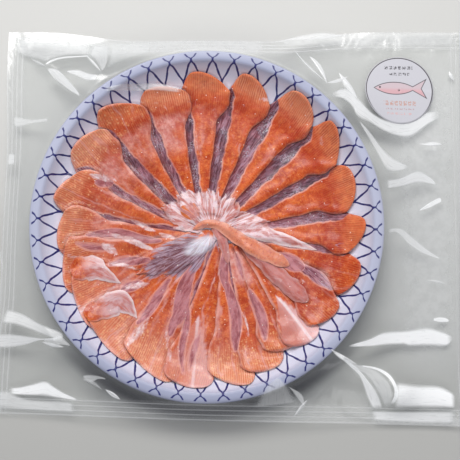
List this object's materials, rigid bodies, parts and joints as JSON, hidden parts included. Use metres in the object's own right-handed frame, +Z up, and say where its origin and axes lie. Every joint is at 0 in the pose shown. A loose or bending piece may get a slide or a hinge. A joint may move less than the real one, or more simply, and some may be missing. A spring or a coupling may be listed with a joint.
{
  "type": "trout sashimi on a plate in a clear vacuum bag",
  "caption": "Thin slices of raw trout laid as an overlapping rosette on a round plastic plate, sealed in a clear flat bag with a round label.",
  "frame": {"origin": "middle of the pack's footprint, on the table", "axes": "+X along the bag's length, towards the side with the label; +Y towards the bag's upper edge as the label reads; +Z up, from the plate to the fish"},
  "size_m": [0.293, 0.244, 0.02],
  "materials": {
    "plate_plastic": "pale lavender-white moulded plastic with a dark blue printed net along the rim",
    "bag_film": "clear heat-sealed plastic film, glossy, creased",
    "label_paper": "white coated paper sticker",
    "fish_orange": "raw trout flesh, moist and slightly translucent, with a silver-grey skin side",
    "fish_pink": "raw trout flesh, pale pink and slightly translucent"
  },
  "bodies": {
    "root": {"plate": "plate_plastic", "bag": "bag_film", "label": "label_paper", "slice_01": "fish_orange", "slice_02": "fish_orange", "slice_03": "fish_orange", "slice_04": "fish_orange", "slice_05": "fish_orange", "slice_06": "fish_orange", "slice_07": "fish_orange", "slice_08": "fish_orange", "slice_09": "fish_orange", "slice_10": "fish_orange", "slice_11": "fish_orange", "slice_12": "fish_orange", "slice_13": "fish_orange", "slice_14": "fish_orange", "slice_15": "fish_orange", "slice_16": "fish_orange", "slice_17": "fish_orange", "slice_18": "fish_orange", "slice_19": "fish_orange", "slice_20": "fish_orange", "slice_21": "fish_orange", "slice_22": "fish_orange", "short_slice": "fish_pink", "flap_left": "fish_pink", "flap_low": "fish_pink", "centre_fold": "fish_pink", "centre_curl": "fish_pink", "centre_tail_1": "fish_pink", "centre_tail_2": "fish_pink", "centre_tail_3": "fish_pink", "centre_tail_4": "fish_pink", "centre_band": "fish_pink", "centre_arc": "fish_orange"}
  },
  "joints": []
}
